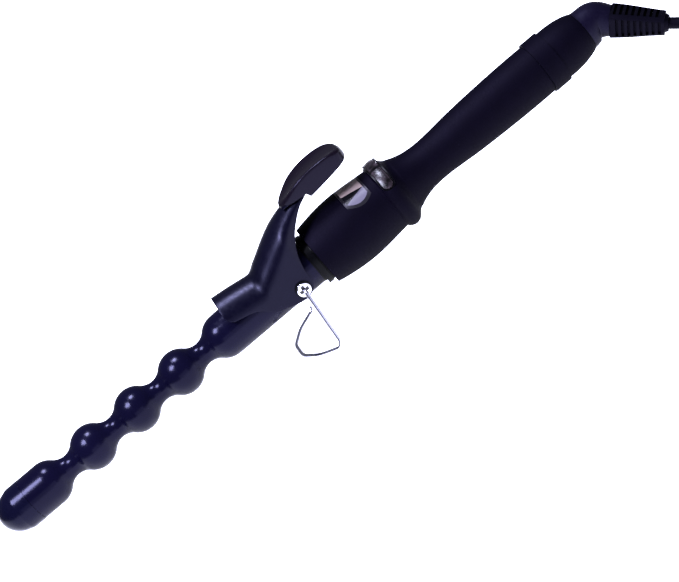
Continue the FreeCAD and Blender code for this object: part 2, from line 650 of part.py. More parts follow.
def rounded_square(x, side, corner):
    """Square wire with round corners, across the x axis."""
    half = side / 2
    straight = half - corner
    edges = []
    for quarter in range(4):
        turn = Rotation(V(1, 0, 0), 90 * quarter)
        a = turn.multVec(V(0, -straight, half))
        b = turn.multVec(V(0, straight, half))
        edges.append(Part.LineSegment(V(x, a.y, a.z), V(x, b.y, b.z)).toShape())
        bulge = straight + corner * math.sqrt(0.5)
        middle = turn.multVec(V(0, bulge, bulge))
        end = turn.multVec(V(0, half, straight))
        edges.append(Part.Arc(V(x, b.y, b.z), V(x, middle.y, middle.z), V(x, end.y, end.z)).toShape())
    return Part.Wire(Part.__sortEdges__(edges))


def cord_boot():
    """Tapered square strain relief with staggered slots, and a short nose on the lead."""
    sides = ((BOOT_START, 14.6), (16.0, 13.8), (26.0, 12.2), (BOOT_END, 10.8))
    body = lofted([rounded_square(x, side, 3.0) for x, side in sides])
    nose = Part.makeCone(5.0, 4.2, NOSE_END - BOOT_END, V(BOOT_END, 0, 0), V(1, 0, 0))
    body = body.fuse(nose)
    for i in range(SLOT_COUNT):
        for turn in (0, 90, 180, 270):
            stagger = 0.5 if turn % 180 else 0.0
            x = BOOT_START + 1.6 + SLOT_PITCH * (i + stagger)
            face_z = 7.3 - (x - BOOT_START) * 0.069
            slot = box(x, x + SLOT_WIDTH, -face_z + 2.0, face_z - 2.0, face_z - SLOT_DEPTH, 10.0)
            body = body.cut(about_axis(slot, turn))
    part("cord_boot", on_bend(body))


def iron_to_row():
    """Placement from the iron's frame to the row: leaned on its stand, resting on z = 0."""
    lean = Rotation(V(0, 1, 0), LEAN)
    everything = Part.makeCompound(list(PARTS.values()))
    everything.Placement = Placement(V(0, 0, 0), lean)
    bounds = everything.optimalBoundingBox(False)
    middle_x = (bounds.XMin + bounds.XMax) / 2
    middle_y = (bounds.YMin + bounds.YMax) / 2
    return Placement(V(-middle_x, -middle_y, -bounds.ZMin), lean)


def lead(place):
    """The free lead: out of the boot, down to the floor and round into its put-away coil."""
    exit_point = place.multVec(V(BEND_X, 0, 0) + along_bend() * NOSE_END)
    heading = place.Rotation.multVec(along_bend())
    down = exit_point + heading * ((exit_point.z - LEAD_R) / -heading.z)
    centre = V(exit_point.x + 67, exit_point.y + 18, 0)
    outer_r = COIL_MEAN_R + (COIL_LAYERS[0] - 1) * LEAD_R
    join = V(centre.x, centre.y - outer_r, LEAD_R)
    route = [
        exit_point,
        down,
        V(down.x + 12, down.y - 7.0, LEAD_R),
        V(down.x + 25, down.y - 13.4, LEAD_R),
        V(join.x - 15, join.y - 0.5, LEAD_R),
        join,
    ]
    radii = arc_radii(route)
    part("lead", bent_rod(route, radii, LEAD_R))
    report_tube("lead", route, radii)
    coil(centre)
    far_end(centre)


def arc_radii(route):
    """As large as the two runs allow: 0.45 of the shorter, over the tangent of half the turn."""
    radii = []
    for before, corner, after in zip(route, route[1:], route[2:]):
        turn = (corner - before).getAngle(after - corner)
        run = min((corner - before).Length, (after - corner).Length)
        radii.append(0.45 * run / math.tan(turn / 2))
    return radii


def report_tube(name, route, radii):
    length = bent_path(route, radii).Length
    section = math.pi * LEAD_R**2
    print(name, "radii", [round(r, 1) for r in radii], "length", round(length, 1))
    print(name, "volume", round(PARTS[name].Volume, 1), "section x length", round(section * length, 1))


def coil_section(grow, foot):
    """Outline of the coil's section, as (radius, height) points: four, three and two turns wide."""
    low_half = COIL_LAYERS[0] * LEAD_R + grow
    top_half = COIL_LAYERS[-1] * LEAD_R + grow
    step, height = 2 * LEAD_R + grow, len(COIL_LAYERS) * 2 * LEAD_R + grow
    return [
        (COIL_MEAN_R - low_half, foot),
        (COIL_MEAN_R + low_half, foot),
        (COIL_MEAN_R + low_half, step),
        (COIL_MEAN_R + top_half, height),
        (COIL_MEAN_R - top_half, height),
        (COIL_MEAN_R - low_half, step),
    ]


def coil_ring(centre, outline, start, turn):
    """The section swept round the coil's centre from one angle through another."""
    corners = [V(centre.x + r, centre.y, z) for r, z in outline]
    face = Part.Face(Part.makePolygon(corners + corners[:1]))
    ring = face.revolve(V(centre.x, centre.y, 0), V(0, 0, 1), turn)
    ring.rotate(V(centre.x, centre.y, 0), V(0, 0, 1), start)
    return ring


def coil(centre):
    """Closed form of the wound lead, and the strap that ties it."""
    strap = coil_ring(centre, coil_section(TIE_WALL, 0.0), TIE_AT - TIE_SPAN / 2, TIE_SPAN)
    strap = strap.cut(coil_ring(centre, coil_section(0.0, TIE_WALL), 0.0, 360.0))
    part("cord_tie", strap)
    part("lead_coil", coil_ring(centre, coil_section(0.0, 0.0), 0.0, 360.0).cut(strap))
    wound = 2 * math.pi * COIL_MEAN_R * COIL_TURNS
    print("coil centre", centre, "turns", COIL_TURNS, "length", round(wound, 1))


def far_end(centre):
    """Last of the lead, rising out of the coil, with the plug lying across it."""
    top = len(COIL_LAYERS) * 2 * LEAD_R
    z0, z1 = top - LEAD_R, top + PLUG_HEIGHT / 2 + 0.2
    route = [
        V(centre.x + 32, centre.y - 5, z0),
        V(centre.x + 33, centre.y + 8, z0 + 1.0),
        V(centre.x + 30, centre.y + 20, z0 + 5.5),
        V(centre.x + 21, centre.y + 28, z1),
        V(centre.x + 9, centre.y + 29, z1),
    ]
    radii = arc_radii(route)
    part("lead_end", bent_rod(route, radii, LEAD_R))
    report_tube("lead_end", route, radii)
    heading = route[-1] - route[-2]
    plug(Placement(route[-1], Rotation(V(0, 0, 1), math.degrees(math.atan2(heading.y, heading.x)))))


def rounded_oblong(x, width, height, corner):
    """Oblong wire across the x axis, with round corners."""
    y, z = width / 2 - corner, height / 2 - corner
    bulge = corner * math.sqrt(0.5)
    edges = []
    for sy, sz in ((1, 1), (-1, 1), (-1, -1), (1, -1)):
        side, top = V(x, sy * (y + corner), sz * z), V(x, sy * y, sz * (z + corner))
        edges.append(Part.Arc(side, V(x, sy * (y + bulge), sz * (z + bulge)), top).toShape())
    for sz in (-1, 1):
        level = sz * (z + corner)
        edges.append(Part.LineSegment(V(x, -y, level), V(x, y, level)).toShape())
    for sy in (-1, 1):
        level = sy * (y + corner)
        edges.append(Part.LineSegment(V(x, level, -z), V(x, level, z)).toShape())
    return Part.Wire(Part.__sortEdges__(edges))


def plug(place):
    """Flat two-pin mains plug: moulded body and round pins."""
    stations = ((0, 8.6, 8.6), (12, 11.0, 11.0), (24, 33.0, PLUG_HEIGHT), (36, PLUG_WIDTH, PLUG_HEIGHT))
    body = lofted([rounded_oblong(x, width, height, height * 0.45) for x, width, height in stations])
    pins = []
    for y in (-PIN_SPACING / 2, PIN_SPACING / 2):
        root = rod(V(30.0, y, 0), V(36.0, y, 0), PIN_R - 0.3)
        shank = rod(V(36.0, y, 0), V(36.0 + PIN_LENGTH, y, 0), PIN_R)
        rim = [e for e in shank.Edges if e.BoundBox.XMin > 35.9 + PIN_LENGTH]
        pins.append(shank.makeFillet(0.8, rim).fuse(root))
        body = body.cut(root)
    for name, shape in (("plug_body", body), ("plug_pins", Part.makeCompound(pins))):
        shape.Placement = place
        part(name, shape)


def build():
    outer = handle_solid(0.0)
    barrel()
    cool_tip()
    heater()
    heater_leads()
    base_collar()
    pivots()
    lever_spring()
    clip_lever()
    thumb_pad()
    wire_stand()
    handle_shells(outer)
    display(outer)
    buttons(outer)
    electronics()
    rear_end()
    swivel_elbow()
    cord_boot()
    place = iron_to_row()
    for name in PARTS:
        PARTS[name].Placement = place.multiply(PARTS[name].Placement)
    lead(place)
    return place


def export():
    os.makedirs("parts", exist_ok=True)
    for name, shape in PARTS.items():
        shape.exportStep(os.path.join("parts", name + ".step"))
        if not shape.isValid():
            print("not valid:", name)
    print(len(PARTS), "sub-parts")


PLACE = build()
export()
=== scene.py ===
"""Curling iron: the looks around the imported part. Lengths in the iron's own frame are millimetres."""

import json
import math

import bmesh
import bpy
from mathutils import Matrix, Vector


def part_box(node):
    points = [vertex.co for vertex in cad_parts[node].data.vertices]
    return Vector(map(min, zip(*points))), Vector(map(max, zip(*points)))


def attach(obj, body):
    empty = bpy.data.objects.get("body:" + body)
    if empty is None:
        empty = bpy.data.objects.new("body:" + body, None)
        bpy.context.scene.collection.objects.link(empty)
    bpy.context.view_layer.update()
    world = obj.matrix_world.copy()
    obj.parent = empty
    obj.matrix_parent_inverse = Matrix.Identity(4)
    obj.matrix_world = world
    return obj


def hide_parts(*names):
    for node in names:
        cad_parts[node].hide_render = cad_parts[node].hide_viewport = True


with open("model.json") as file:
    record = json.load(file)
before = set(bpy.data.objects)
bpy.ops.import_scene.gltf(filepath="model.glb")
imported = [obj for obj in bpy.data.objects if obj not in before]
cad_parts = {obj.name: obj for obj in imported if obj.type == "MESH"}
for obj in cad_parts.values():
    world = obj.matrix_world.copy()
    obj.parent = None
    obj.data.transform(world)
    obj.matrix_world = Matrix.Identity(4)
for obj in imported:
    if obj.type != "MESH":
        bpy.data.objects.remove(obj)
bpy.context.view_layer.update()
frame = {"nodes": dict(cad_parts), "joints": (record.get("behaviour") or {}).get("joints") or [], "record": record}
NODES = frame["nodes"]
JOINTS = {joint["name"]: joint for joint in frame["joints"]}

MM = 0.001
PIVOT_DROP = 3.0
LEAD_D = 0.0062

# The iron's own frame: x along the barrel towards the lead, z up through the clip. Its origin is on the
# iron's axis, above the clip's pivot by PIVOT_DROP.
ALONG = Vector(JOINTS["lead_swivel"]["axis"]).normalized()
ACROSS = Vector((0, 1, 0))
UP = ALONG.cross(ACROSS).normalized()
PIVOT = Vector(JOINTS["clip_lever_hinge"]["pos_m"])
ORIGIN = Vector((PIVOT.x, 0, PIVOT.z)) + UP * PIVOT_DROP * MM
TO_ROW = Matrix.Translation(ORIGIN) @ Matrix((ALONG, ACROSS, UP)).transposed().to_4x4() @ Matrix.Scale(MM, 4)
FROM_ROW = TO_ROW.inverted()


# ---------------------------------------------------------------- camera, floor, light


def camera():
    """Seen from 24 degrees above the iron's side, rolled so that the iron runs up to the right."""
    elevation, roll = math.radians(24.0), math.radians(40.36)
    target, distance = Vector((13.2, 0.0, -22.9)), 1062.0
    view = Vector((0, math.cos(elevation), -math.sin(elevation)))
    side = Vector((1, 0, 0))
    over = Vector((0, math.sin(elevation), math.cos(elevation)))
    right = math.cos(roll) * side - math.sin(roll) * over
    up = math.sin(roll) * side + math.cos(roll) * over
    data = bpy.data.cameras.new("camera")
    data.sensor_width = 36.0
    data.lens = 109.06
    data.clip_end = 20.0
    eye = bpy.data.objects.new("camera", data)
    bpy.context.scene.collection.objects.link(eye)
    turn = TO_ROW.to_3x3().normalized() @ Matrix((right, up, -view)).transposed()
    eye.matrix_world = Matrix.Translation(TO_ROW @ (target - view * distance)) @ turn.to_4x4()
    bpy.context.scene.camera = eye


def floor():
    """Plain white ground."""
    mesh = bpy.data.meshes.new("ground")
    half = 6.0
    corners = [(-half, -half, 0), (half, -half, 0), (half, half, 0), (-half, half, 0)]
    mesh.from_pydata(corners, [], [(0, 1, 2, 3)])
    ground = bpy.data.objects.new("ground", mesh)
    bpy.context.scene.collection.objects.link(ground)
    white = bpy.data.materials.new("ground_white")
    white.use_nodes = True
    shader = white.node_tree.nodes["Principled BSDF"]
    shader.inputs["Base Color"].default_value = (0.9, 0.9, 0.9, 1)
    shader.inputs["Roughness"].default_value = 0.85
    shader.inputs["Emission Color"].default_value = (1, 1, 1, 1)
    shader.inputs["Emission Strength"].default_value = 0.94
    mesh.materials.append(white)


def soft_light(name, place, aim, size, power, colour):
    """One rectangular lamp at a place in the iron's frame, facing another."""
    data = bpy.data.lights.new(name, "AREA")
    data.shape = "RECTANGLE"
    data.size, data.size_y = size[0] * MM, size[1] * MM
    data.energy = power
    data.color = colour
    lamp = bpy.data.objects.new(name, data)
    bpy.context.scene.collection.objects.link(lamp)
    at, to = TO_ROW @ Vector(place), TO_ROW @ Vector(aim)
    lamp.matrix_world = Matrix.Translation(at) @ (to - at).to_track_quat("-Z", "Y").to_matrix().to_4x4()


def studio():
    """A dim violet-grey surround, two square windows above and a broad low lamp on the near side."""
    world = bpy.data.worlds.new("studio")
    world.use_nodes = True
    world.node_tree.nodes["Background"].inputs["Color"].default_value = (0.80, 0.82, 1.0, 1)
    world.node_tree.nodes["Background"].inputs["Strength"].default_value = 0.24
    bpy.context.scene.world = world
    bpy.context.scene.view_settings.view_transform = "Standard"
    violet = (0.74, 0.76, 1.0)
    soft_light("window_left", (-420, -330, 900), (-60, 0, 0), (330, 330), 34.0, violet)
    soft_light("window_right", (120, 60, 1000), (0, 0, 0), (260, 260), 24.0, violet)
    soft_light("near_bank", (60, -900, 60), (-20, 0, 10), (900, 420), 3.0, violet)


# ---------------------------------------------------------------- materials


def finish(name, colour, rough, grain=600.0, uneven=0.15, bump=0.02, tint=0.12, **constants):
    """A moulded, coated or metal finish. Colour, gloss and surface all vary a little."""
    material = bpy.data.materials.new(name)
    material.use_nodes = True
    nodes, links = material.node_tree.nodes, material.node_tree.links
    shader = nodes["Principled BSDF"]
    place = nodes.new("ShaderNodeTexCoord")
    fine = nodes.new("ShaderNodeTexNoise")
    fine.inputs["Scale"].default_value = grain
    fine.inputs["Detail"].default_value = 4.0
    broad = nodes.new("ShaderNodeTexNoise")
    broad.inputs["Scale"].default_value = grain * 0.06
    broad.inputs["Detail"].default_value = 3.0
    for noise in (fine, broad):
        links.new(place.outputs["Object"], noise.inputs["Vector"])
    shade = nodes.new("ShaderNodeValToRGB")
    dark = [c * (1 - tint) for c in colour]
    light = [min(1.0, c * (1 + tint)) for c in colour]
    shade.color_ramp.elements[0].position = 0.35
    shade.color_ramp.elements[0].color = (*dark, 1)
    shade.color_ramp.elements[1].position = 0.65
    shade.color_ramp.elements[1].color = (*light, 1)
    links.new(broad.outputs["Fac"], shade.inputs["Fac"])
    links.new(shade.outputs["Color"], shader.inputs["Base Color"])
    gloss = nodes.new("ShaderNodeMapRange")
    gloss.inputs["From Min"].default_value = 0.3
    gloss.inputs["From Max"].default_value = 0.7
    gloss.inputs["To Min"].default_value = rough * (1 - uneven)
    gloss.inputs["To Max"].default_value = min(1.0, rough * (1 + uneven))
    links.new(fine.outputs["Fac"], gloss.inputs["Value"])
    links.new(gloss.outputs["Result"], shader.inputs["Roughness"])
    relief = nodes.new("ShaderNodeBump")
    relief.inputs["Strength"].default_value = bump
    relief.inputs["Distance"].default_value = 0.0002
    links.new(fine.outputs["Fac"], relief.inputs["Height"])
    links.new(relief.outputs["Normal"], shader.inputs["Normal"])
    for key, value in constants.items():
        shader.inputs[key.replace("_", " ")].default_value = value
    return material


# The panel's half-width at the display's front, how it widens towards the rear, and the slope of the edge of the
# rear facet's painted reflection.
LCD_HALF, LCD_FLARE, FACET_SLOPE = 6.3, 0.14, 0.45
# The lilac is a painted reflection on the rear facet; the beige and the black are the panel's and the glass's own
# colours.
LCD_BEIGE, GLASS_BLACK, FACET_REFLECTION_LILAC = (0.20, 0.155, 0.145), (0.002, 0.002, 0.003), (0.075, 0.068, 0.092)


def display_glass(material):
    """Beige unlit panel in the middle, black glass beside it, and a painted lilac reflection on the facet at the
    rear.
    """
    nodes, links = material.node_tree.nodes, material.node_tree.links

    def computed(operation, a, b):
        node = nodes.new("ShaderNodeMath")
        node.operation = operation
        for port, value in zip(node.inputs, (a, b)):
            if isinstance(value, (int, float)):
                port.default_value = value
            else:
                links.new(value, port)
        return node.outputs["Value"]

    def mixed(share, a, b):
        node = nodes.new("ShaderNodeMix")
        node.data_type = "RGBA"
        links.new(share, node.inputs["Factor"])
        for port, value in ((node.inputs[6], a), (node.inputs[7], b)):
            if isinstance(value, tuple):
                port.default_value = (*value, 1)
            else:
                links.new(value, port)
        return node.outputs[2]

    place = nodes.new("ShaderNodeTexCoord")
    split = nodes.new("ShaderNodeSeparateXYZ")
    links.new(place.outputs["Object"], split.inputs["Vector"])
    front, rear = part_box("display_window")[0].x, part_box("display_window")[1].x
    behind = computed("SUBTRACT", split.outputs["X"], front)
    edge = computed("ADD", computed("MULTIPLY", behind, LCD_FLARE), LCD_HALF * MM)
    past = computed("SUBTRACT", computed("ABSOLUTE", split.outputs["Y"], 0.0), edge)
    glass = computed("GREATER_THAN", past, 0.0)
    ahead = computed("SUBTRACT", rear, split.outputs["X"])
    # Mask of the rear facet, where a painted lilac reflection takes the place of the light the glass reflects.
    facet = computed("GREATER_THAN", past, computed("MULTIPLY", ahead, FACET_SLOPE))
    colour = mixed(facet, mixed(glass, LCD_BEIGE, GLASS_BLACK), FACET_REFLECTION_LILAC)
    links.new(colour, nodes["Principled BSDF"].inputs["Base Color"])
    return material


def materials():
    """One finish for each of the record's material slots, and the ones that OWN_FINISH names."""
    metal = {"Metallic": 1.0}
    gloss = {"IOR": 1.3, "Specular_IOR_Level": 0.3, "Coat_Weight": 0.1, "Coat_Roughness": 0.2}
    tinted = {"IOR": 1.18, "Specular_Tint": (0.66, 0.64, 1.0, 1)}
    quiet = {"IOR": 1.12, "Specular_IOR_Level": 0.4, "Specular_Tint": (0.66, 0.58, 1.0, 1)}
    made = {}

    def add(name, colour, rough, **options):
        made[name] = finish(name, colour, rough, **options)

    add("barrel_coat", (0.0013, 0.0011, 0.0058), 0.19, Specular_IOR_Level=0.5, **tinted)
    add("tip_plastic", (0.0013, 0.0013, 0.0060), 0.20, Specular_IOR_Level=0.5, **tinted)
    add("black_plastic", (0.0008, 0.0008, 0.0012), 0.3, bump=0.05, IOR=1.12)
    add("soft_touch", (0.0006, 0.0004, 0.0018), 0.6, grain=2500, bump=0.10, **quiet)
    add("clip_coat", (0.0005, 0.0004, 0.0028), 0.33, Specular_IOR_Level=0.6, **tinted)
    add("pad_plastic", (0.0022, 0.0014, 0.0030), 0.24, bump=0.004, **tinted)
    add("chrome", (0.66, 0.66, 0.72), 0.10, bump=0.01, **metal)
    add("steel", (0.45, 0.45, 0.46), 0.35, bump=0.05, **metal)
    add("spring_steel", (0.55, 0.55, 0.57), 0.25, **metal)
    add("ceramic", (0.75, 0.72, 0.66), 0.6, bump=0.1)
    add("copper", (0.75, 0.35, 0.2), 0.3, **metal)
    add("film", (0.55, 0.28, 0.06), 0.3)
    add("aluminium", (0.6, 0.6, 0.62), 0.35, **metal)
    add("wire_sleeve", (0.6, 0.6, 0.58), 0.6)
    add("lens", (0.006, 0.006, 0.010), 0.3, tint=0.05, bump=0.0, Specular_IOR_Level=0.12)
    add("silver_trim", (0.24, 0.23, 0.27), 0.34, **metal)
    add("lcd", (0.09, 0.07, 0.07), 0.3)
    add("light_guide", (0.5, 0.6, 0.9), 0.3)
    add("smoke_chrome", (0.012, 0.009, 0.011), 0.2, grain=4200, tint=0.9, bump=0.35, **gloss)
    add("silicone", (0.2, 0.2, 0.2), 0.6)
    add("circuit_board", (0.02, 0.12, 0.04), 0.4)
    add("component", (0.03, 0.03, 0.03), 0.45)
    add("cord_rubber", (0.0012, 0.0010, 0.0024), 0.42, grain=1500, bump=0.08, **quiet)
    add("wire_plating", (0.55, 0.55, 0.64), 0.17, Metallic=1.0, Specular_IOR_Level=0.5)
    add("smoked_trim", (0.012, 0.011, 0.014), 0.32, Metallic=0.5, Specular_IOR_Level=0.1)
    add("elbow_satin", (0.0014, 0.0009, 0.0045), 0.45, Specular_IOR_Level=0.5, **tinted)
    display_glass(made["lens"])
    return made


# The CAD nodes that take another finish than their slot's.
OWN_FINISH = {"wire_stand": "wire_plating", "swivel_elbow": "elbow_satin", "display_frame": "smoked_trim"}


def dress(finishes):
    """Every carried-over CAD node takes its slot's finish, or one of its own."""
    for entry in frame["record"]["subparts"]:
        for place in NODES[entry["node"]].material_slots:
            place.material = finishes[OWN_FINISH.get(entry["node"], entry["material_slot"])]


# ---------------------------------------------------------------- pieces


def between(p, q, r, w, t):
    """The Catmull-Rom value at a share t of the way from q to r, with p before them and w after."""
    squared = (2 * p - 5 * q + 4 * r - w) * t**2
    cubed = (3 * q - p - 3 * r + w) * t**3
    return 0.5 * (2 * q + (r - p) * t + squared + cubed)


def smooth_path(knots, steps):
    """Points along a Catmull-Rom curve through the knots, which are tuples of any length."""
    rows = []
    padded = [knots[0]] + list(knots) + [knots[-1]]
    for a, b, c, d in zip(padded, padded[1:], padded[2:], padded[3:]):
        for i in range(steps):
            rows.append(tuple(between(p, q, r, w, i / steps) for p, q, r, w in zip(a, b, c, d)))
    rows.append(tuple(knots[-1]))
    return rows


def grid_faces(rows, columns, closed=False):
    """Four-sided faces over rows of points; closed joins each row's end to its start."""
    faces = []
    for i in range(rows - 1):
        for j in range(columns if closed else columns - 1):
            k = (j + 1) % columns
            faces.append((i * columns + j, i * columns + k, (i + 1) * columns + k, (i + 1) * columns + j))
    return faces


def piece(name, points, faces, body, slot, *stands_for):
    """A smooth-shaded mesh piece from points in the iron's frame, riding on a CAD body."""
    mesh = bpy.data.meshes.new(name)
    mesh.from_pydata([TO_ROW @ Vector(p) for p in points], [], faces)
    mesh.validate()
    work = bmesh.new()
    work.from_mesh(mesh)
    bmesh.ops.remove_doubles(work, verts=work.verts, dist=0.00001)
    bmesh.ops.recalc_face_normals(work, faces=work.faces)
    work.to_mesh(mesh)
    work.free()
    mesh.polygons.foreach_set("use_smooth", [True] * len(mesh.polygons))
    mesh.materials.append(FINISHES[slot])
    made = bpy.data.objects.new(name, mesh)
    bpy.context.scene.collection.objects.link(made)
    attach(made, body)
    if stands_for:
        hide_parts(*stands_for)
    return made


# The clip's stations: top line x, z; lower edge x, z; the arch's half-width, depth and turn.
CLIP_STATIONS = [
    (-39.3, 19.4, -40.8, 6.6, 13.9, 13.9, 82),
    (-30.0, 18.3, -31.5, 5.0, 13.9, 13.9, 82),
    (-21.5, 16.9, -24.2, 3.0, 13.9, 13.7, 82),
    (-17.6, 16.3, -20.6, -0.6, 13.9, 13.2, 86),
    (-15.4, 16.9, -17.6, -3.2, 13.9, 12.8, 90),
    (-12.0, 19.2, -13.4, -4.9, 13.9, 12.6, 90),
    (-7.0, 22.2, -5.5, -7.8, 13.9, 12.2, 90),
    (-2.0, 25.2, 1.0, -8.0, 13.9, 11.8, 90),
    (3.0, 27.9, 5.6, -4.2, 13.9, 11.0, 90),
    (7.6, 30.0, 6.6, 4.0, 13.6, 10.2, 90),
    (11.0, 31.3, 9.4, 13.6, 12.4, 9.2, 90),
    (14.6, 32.6, 13.8, 20.4, 10.6, 8.0, 90),
    (18.5, 33.5, 19.6, 25.8, 8.8, 5.6, 90),
    (23.5, 34.0, 25.6, 29.8, 7.0, 3.6, 90),
    (30.0, 34.3, 31.2, 32.0, 5.9, 2.0, 90),
]
CLIP_WALL = 1.2
CLIP_BEVEL = 0.35
FRONT_CORNER = 7.0
ARCH_STEPS = 40


def clip_section(station, columns):
    """Points across one station, from the near edge over the top to the far edge."""
    top_x, top_z, low_x, low_z, half, depth, turn = station
    drop = math.hypot(low_x - top_x, low_z - top_z)
    way = ((low_x - top_x) / drop, (low_z - top_z) / drop)
    angles = [math.radians(turn * i / ARCH_STEPS) for i in range(ARCH_STEPS + 1)]
    arch = [(half * math.sin(angle), depth * (1 - math.cos(angle))) for angle in angles]
    if drop > arch[-1][1] + 0.05:
        arch.append((arch[-1][0], drop))
    lengths = [0.0]
    for a, b in zip(arch, arch[1:]):
        lengths.append(lengths[-1] + math.dist(a, b))
    side = []
    for i in range(columns + 1):
        want = lengths[-1] * i / columns
        k = next((n for n in range(len(lengths) - 1) if lengths[n + 1] >= want - 1e-9), len(lengths) - 2)
        share = (want - lengths[k]) / (lengths[k + 1] - lengths[k])
        y = arch[k][0] + (arch[k + 1][0] - arch[k][0]) * share
        fall = arch[k][1] + (arch[k + 1][1] - arch[k][1]) * share
        side.append((y, fall, want, lengths[-1]))
    near = [(-y, fall, want, total) for y, fall, want, total in reversed(side[1:])]
    return [
        (top_x + way[0] * fall, y, top_z + way[1] * fall, want, total)
        for y, fall, want, total in near + side
    ]


def clip():
    """The pressed clip: trough, swelling lever and two cheeks in one sheet, with a tongue under the pad."""
    columns, steps = 22, 6
    rows = [clip_section(station, columns) for station in smooth_path(CLIP_STATIONS, steps)]
    reach = 2 * steps
    points = []
    for i, row in enumerate(rows):
        for x, y, z, want, total in row:
            past = want - (total - FRONT_CORNER)
            if past > 0 and i < reach:
                x += (FRONT_CORNER - math.sqrt(max(0.0, FRONT_CORNER**2 - past**2))) * (1 - i / reach)
            points.append((x, y, z))
    faces = grid_faces(len(rows), 2 * columns + 1)
    skin = piece("clip_shell", points, faces, "clip", "clip_coat", "clip_lever")
    wall = skin.modifiers.new("wall", "SOLIDIFY")
    wall.thickness = CLIP_WALL * MM
    wall.offset = -1.0
    edge = skin.modifiers.new("edge", "BEVEL")
    edge.width = CLIP_BEVEL * MM
    edge.segments = 2
    edge.limit_method = "ANGLE"
    edge.angle_limit = math.radians(50)
    tongue()


def tongue():
    """The flat end that carries the thumb pad."""
    x0, x1, half, z0, z1 = 18.0, 50.0, 6.0, 33.4, 34.6
    edge = 0.3
    points, columns = [], 25
    for z, inset in ((z0, edge), (z0 + edge, 0.0), (z1 - edge, 0.0), (z1, edge)):
        ring = [(x0, -half + inset), (x0, half - inset)]
        for i in range(columns - 2):
            angle = math.radians(90 - 180 * i / (columns - 3))
            ring.append((x1 - half + (half - inset) * math.cos(angle), (half - inset) * math.sin(angle)))
        points += [(x, y, z) for x, y in ring]
    faces = grid_faces(4, columns, closed=True)
    faces += [tuple(range(columns)), tuple(reversed(range(3 * columns, 4 * columns)))]
    piece("clip_tongue", points, faces, "clip", "clip_coat")


# The thumb pad's plan as x, half-width, and its crown and foot lines as x, z.
PAD_PLAN = [
    (16.9, 0.0), (18.6, 3.9), (22.6, 6.6), (30.0, 8.8), (40.0, 9.8), (50.0, 10.0), (56.4, 8.9), (59.6, 5.4),
    (60.4, 0.0),
]
PAD_CROWN = [
    (16.0, 34.8), (22.5, 37.7), (30.5, 40.9), (40.0, 42.5), (50.0, 42.3), (56.5, 40.9), (60.4, 39.0),
]
PAD_FOOT = [
    (16.0, 32.6), (22.0, 33.2), (32.2, 33.2), (33.2, 30.6), (45.0, 32.1), (57.0, 33.6), (60.4, 34.4),
]
PAD_MIDDLE_X = 40.0
# The pad's rings from the middle of its top outwards: share of the plan, then drop below the crown.
PAD_TOP_RINGS = [
    (0.02, 1.2), (0.25, 1.18), (0.45, 1.05), (0.6, 0.82), (0.72, 0.5), (0.8, 0.25), (0.86, 0.1),
    (0.905, 0.05), (0.94, 0.14), (0.965, 0.38), (0.982, 0.75), (0.993, 1.25), (1.0, 2.0),
]
# The rings from the skirt's foot inwards: share of the plan, then height above the foot line.
PAD_FOOT_RINGS = [(1.0, 0.8), (0.985, 0.2), (0.95, 0.0), (0.87, 0.0), (0.85, 0.5), (0.85, 3.0), (0.02, 3.4)]


def level(table, x):
    """Height of the line through (x, z) points."""
    for (xa, za), (xb, zb) in zip(table, table[1:]):
        if x <= xb:
            return za + (zb - za) * max(0.0, x - xa) / (xb - xa)
    return table[-1][1]


def thumb_pad():
    """Oval thumb rest: dished top inside a raised rim, rounded edge, deep skirt, hollow below."""
    half = smooth_path(PAD_PLAN, 10)
    outline = half + [(x, -y) for x, y in reversed(half[1:-1])]
    crown = smooth_path(PAD_CROWN, 12)
    points = []
    for line, rings, sign in ((crown, PAD_TOP_RINGS, -1), (PAD_FOOT, PAD_FOOT_RINGS, 1)):
        for share, offset in rings:
            for x, y in outline:
                px = PAD_MIDDLE_X + (x - PAD_MIDDLE_X) * share
                points.append((px, y * share, level(line, px) + sign * offset))
    rows = len(PAD_TOP_RINGS) + len(PAD_FOOT_RINGS)
    faces = grid_faces(rows, len(outline), closed=True)
    last = (rows - 1) * len(outline)
    faces += [tuple(reversed(range(len(outline)))), tuple(range(last, last + len(outline)))]
    piece("thumb_rest", points, faces, "clip", "pad_plastic", "thumb_pad")


SCREW_HEAD_R, SCREW_DOME, DOME_POWER = 3.7, 0.55, 2.6
SCREW_FACE_Y, SCREW_FOOT_Y = 15.65, 14.9
CROSS_HALF, CROSS_REACH, CROSS_DEPTH, CROSS_EDGE = 0.85, 2.5, 1.0, 0.25


def past_cross(u, w):
    """How far a point of the screw head lies outside the driver's cross; below zero it is inside."""
    upright = max(abs(u) - CROSS_HALF, abs(w) - CROSS_REACH)
    crosswise = max(abs(w) - CROSS_HALF, abs(u) - CROSS_REACH)
    return min(upright, crosswise)


